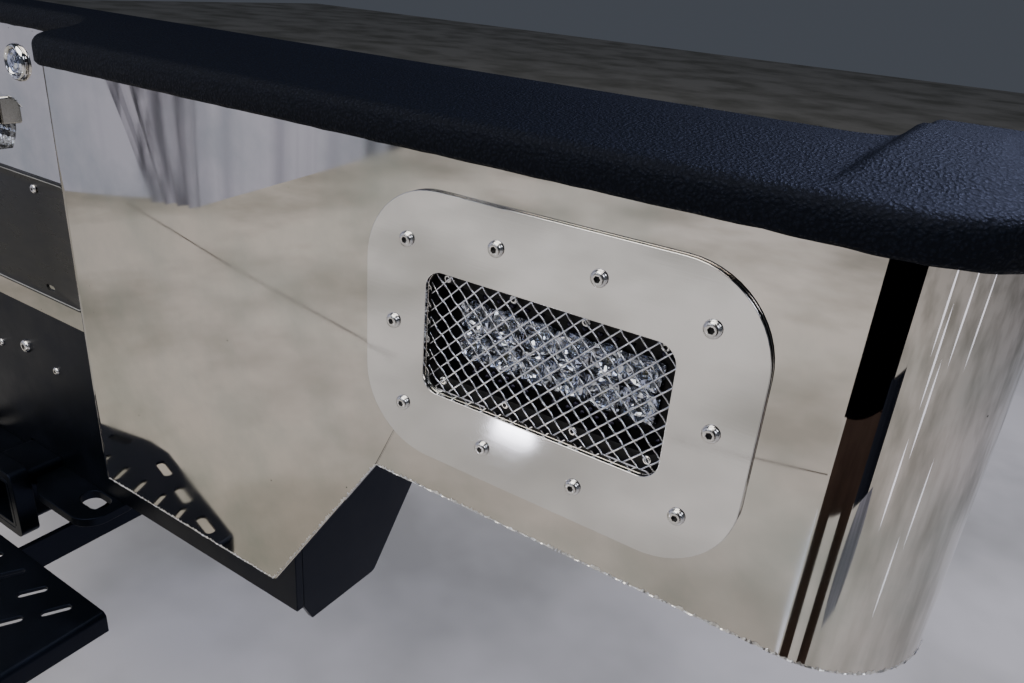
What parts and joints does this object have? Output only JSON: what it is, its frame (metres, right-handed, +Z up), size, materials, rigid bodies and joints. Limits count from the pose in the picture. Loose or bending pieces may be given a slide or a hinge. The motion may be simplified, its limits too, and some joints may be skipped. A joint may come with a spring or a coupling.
{
  "type": "truck rear bumper",
  "caption": "Full-width rear step bumper with polished drop wings, grilled work lamps, recessed plate, hitch receiver and perforated step.",
  "frame": {"origin": "centre of the four frame bolts, on the face of the two pads that meets the ends of the frame rails", "axes": "+Y forward in the truck and out of the pads towards the rails, +X to the truck's right, +Z up"},
  "size_m": [2.1166, 0.519, 0.7038],
  "materials": {
    "mirror_stainless": "mirror polished stainless sheet",
    "satin_stainless": "satin stainless plate",
    "woven_wire": "bright woven wire",
    "sprayed_liner": "black pebbled sprayed liner on steel",
    "black_powder": "satin black powder coat",
    "lamp_black": "black coated cast housing",
    "clear_optic": "clear moulded optic",
    "bright_chrome": "chrome plate",
    "dark_plate": "blank dark enamelled plate"
  },
  "bodies": {
    "root": {"cap_ribs": "black_powder", "centre_panel": "mirror_stainless", "chain_ear_left": "black_powder", "chain_ear_right": "black_powder", "frame_pad_left": "black_powder", "frame_pad_right": "black_powder", "hitch_cross_tube": "black_powder", "hitch_plate": "black_powder", "hitch_side_left": "black_powder", "hitch_side_right": "black_powder", "lamp_body_left": "lamp_black", "lamp_body_right": "lamp_black", "lamp_bracket_left": "black_powder", "lamp_bracket_right": "black_powder", "lamp_cover_left": "satin_stainless", "lamp_cover_right": "satin_stainless", "lamp_grille_left": "woven_wire", "lamp_grille_right": "woven_wire", "lamp_lenses_left": "clear_optic", "lamp_lenses_right": "clear_optic", "main_beam": "black_powder", "plate_lamp_hood": "bright_chrome", "plate_lamp_lens": "clear_optic", "receiver_collar": "black_powder", "receiver_tube": "black_powder", "registration_plate": "dark_plate", "round_lamp_bezel_left": "bright_chrome", "round_lamp_bezel_right": "bright_chrome", "round_lamp_lens_left": "clear_optic", "round_lamp_lens_right": "clear_optic", "step_arm_left": "black_powder", "step_arm_right": "black_powder", "step_pad": "sprayed_liner", "step_plate": "black_powder", "wing_left": "mirror_stainless", "wing_ribs_left": "black_powder", "wing_ribs_right": "black_powder", "wing_right": "mirror_stainless"}
  },
  "joints": []
}
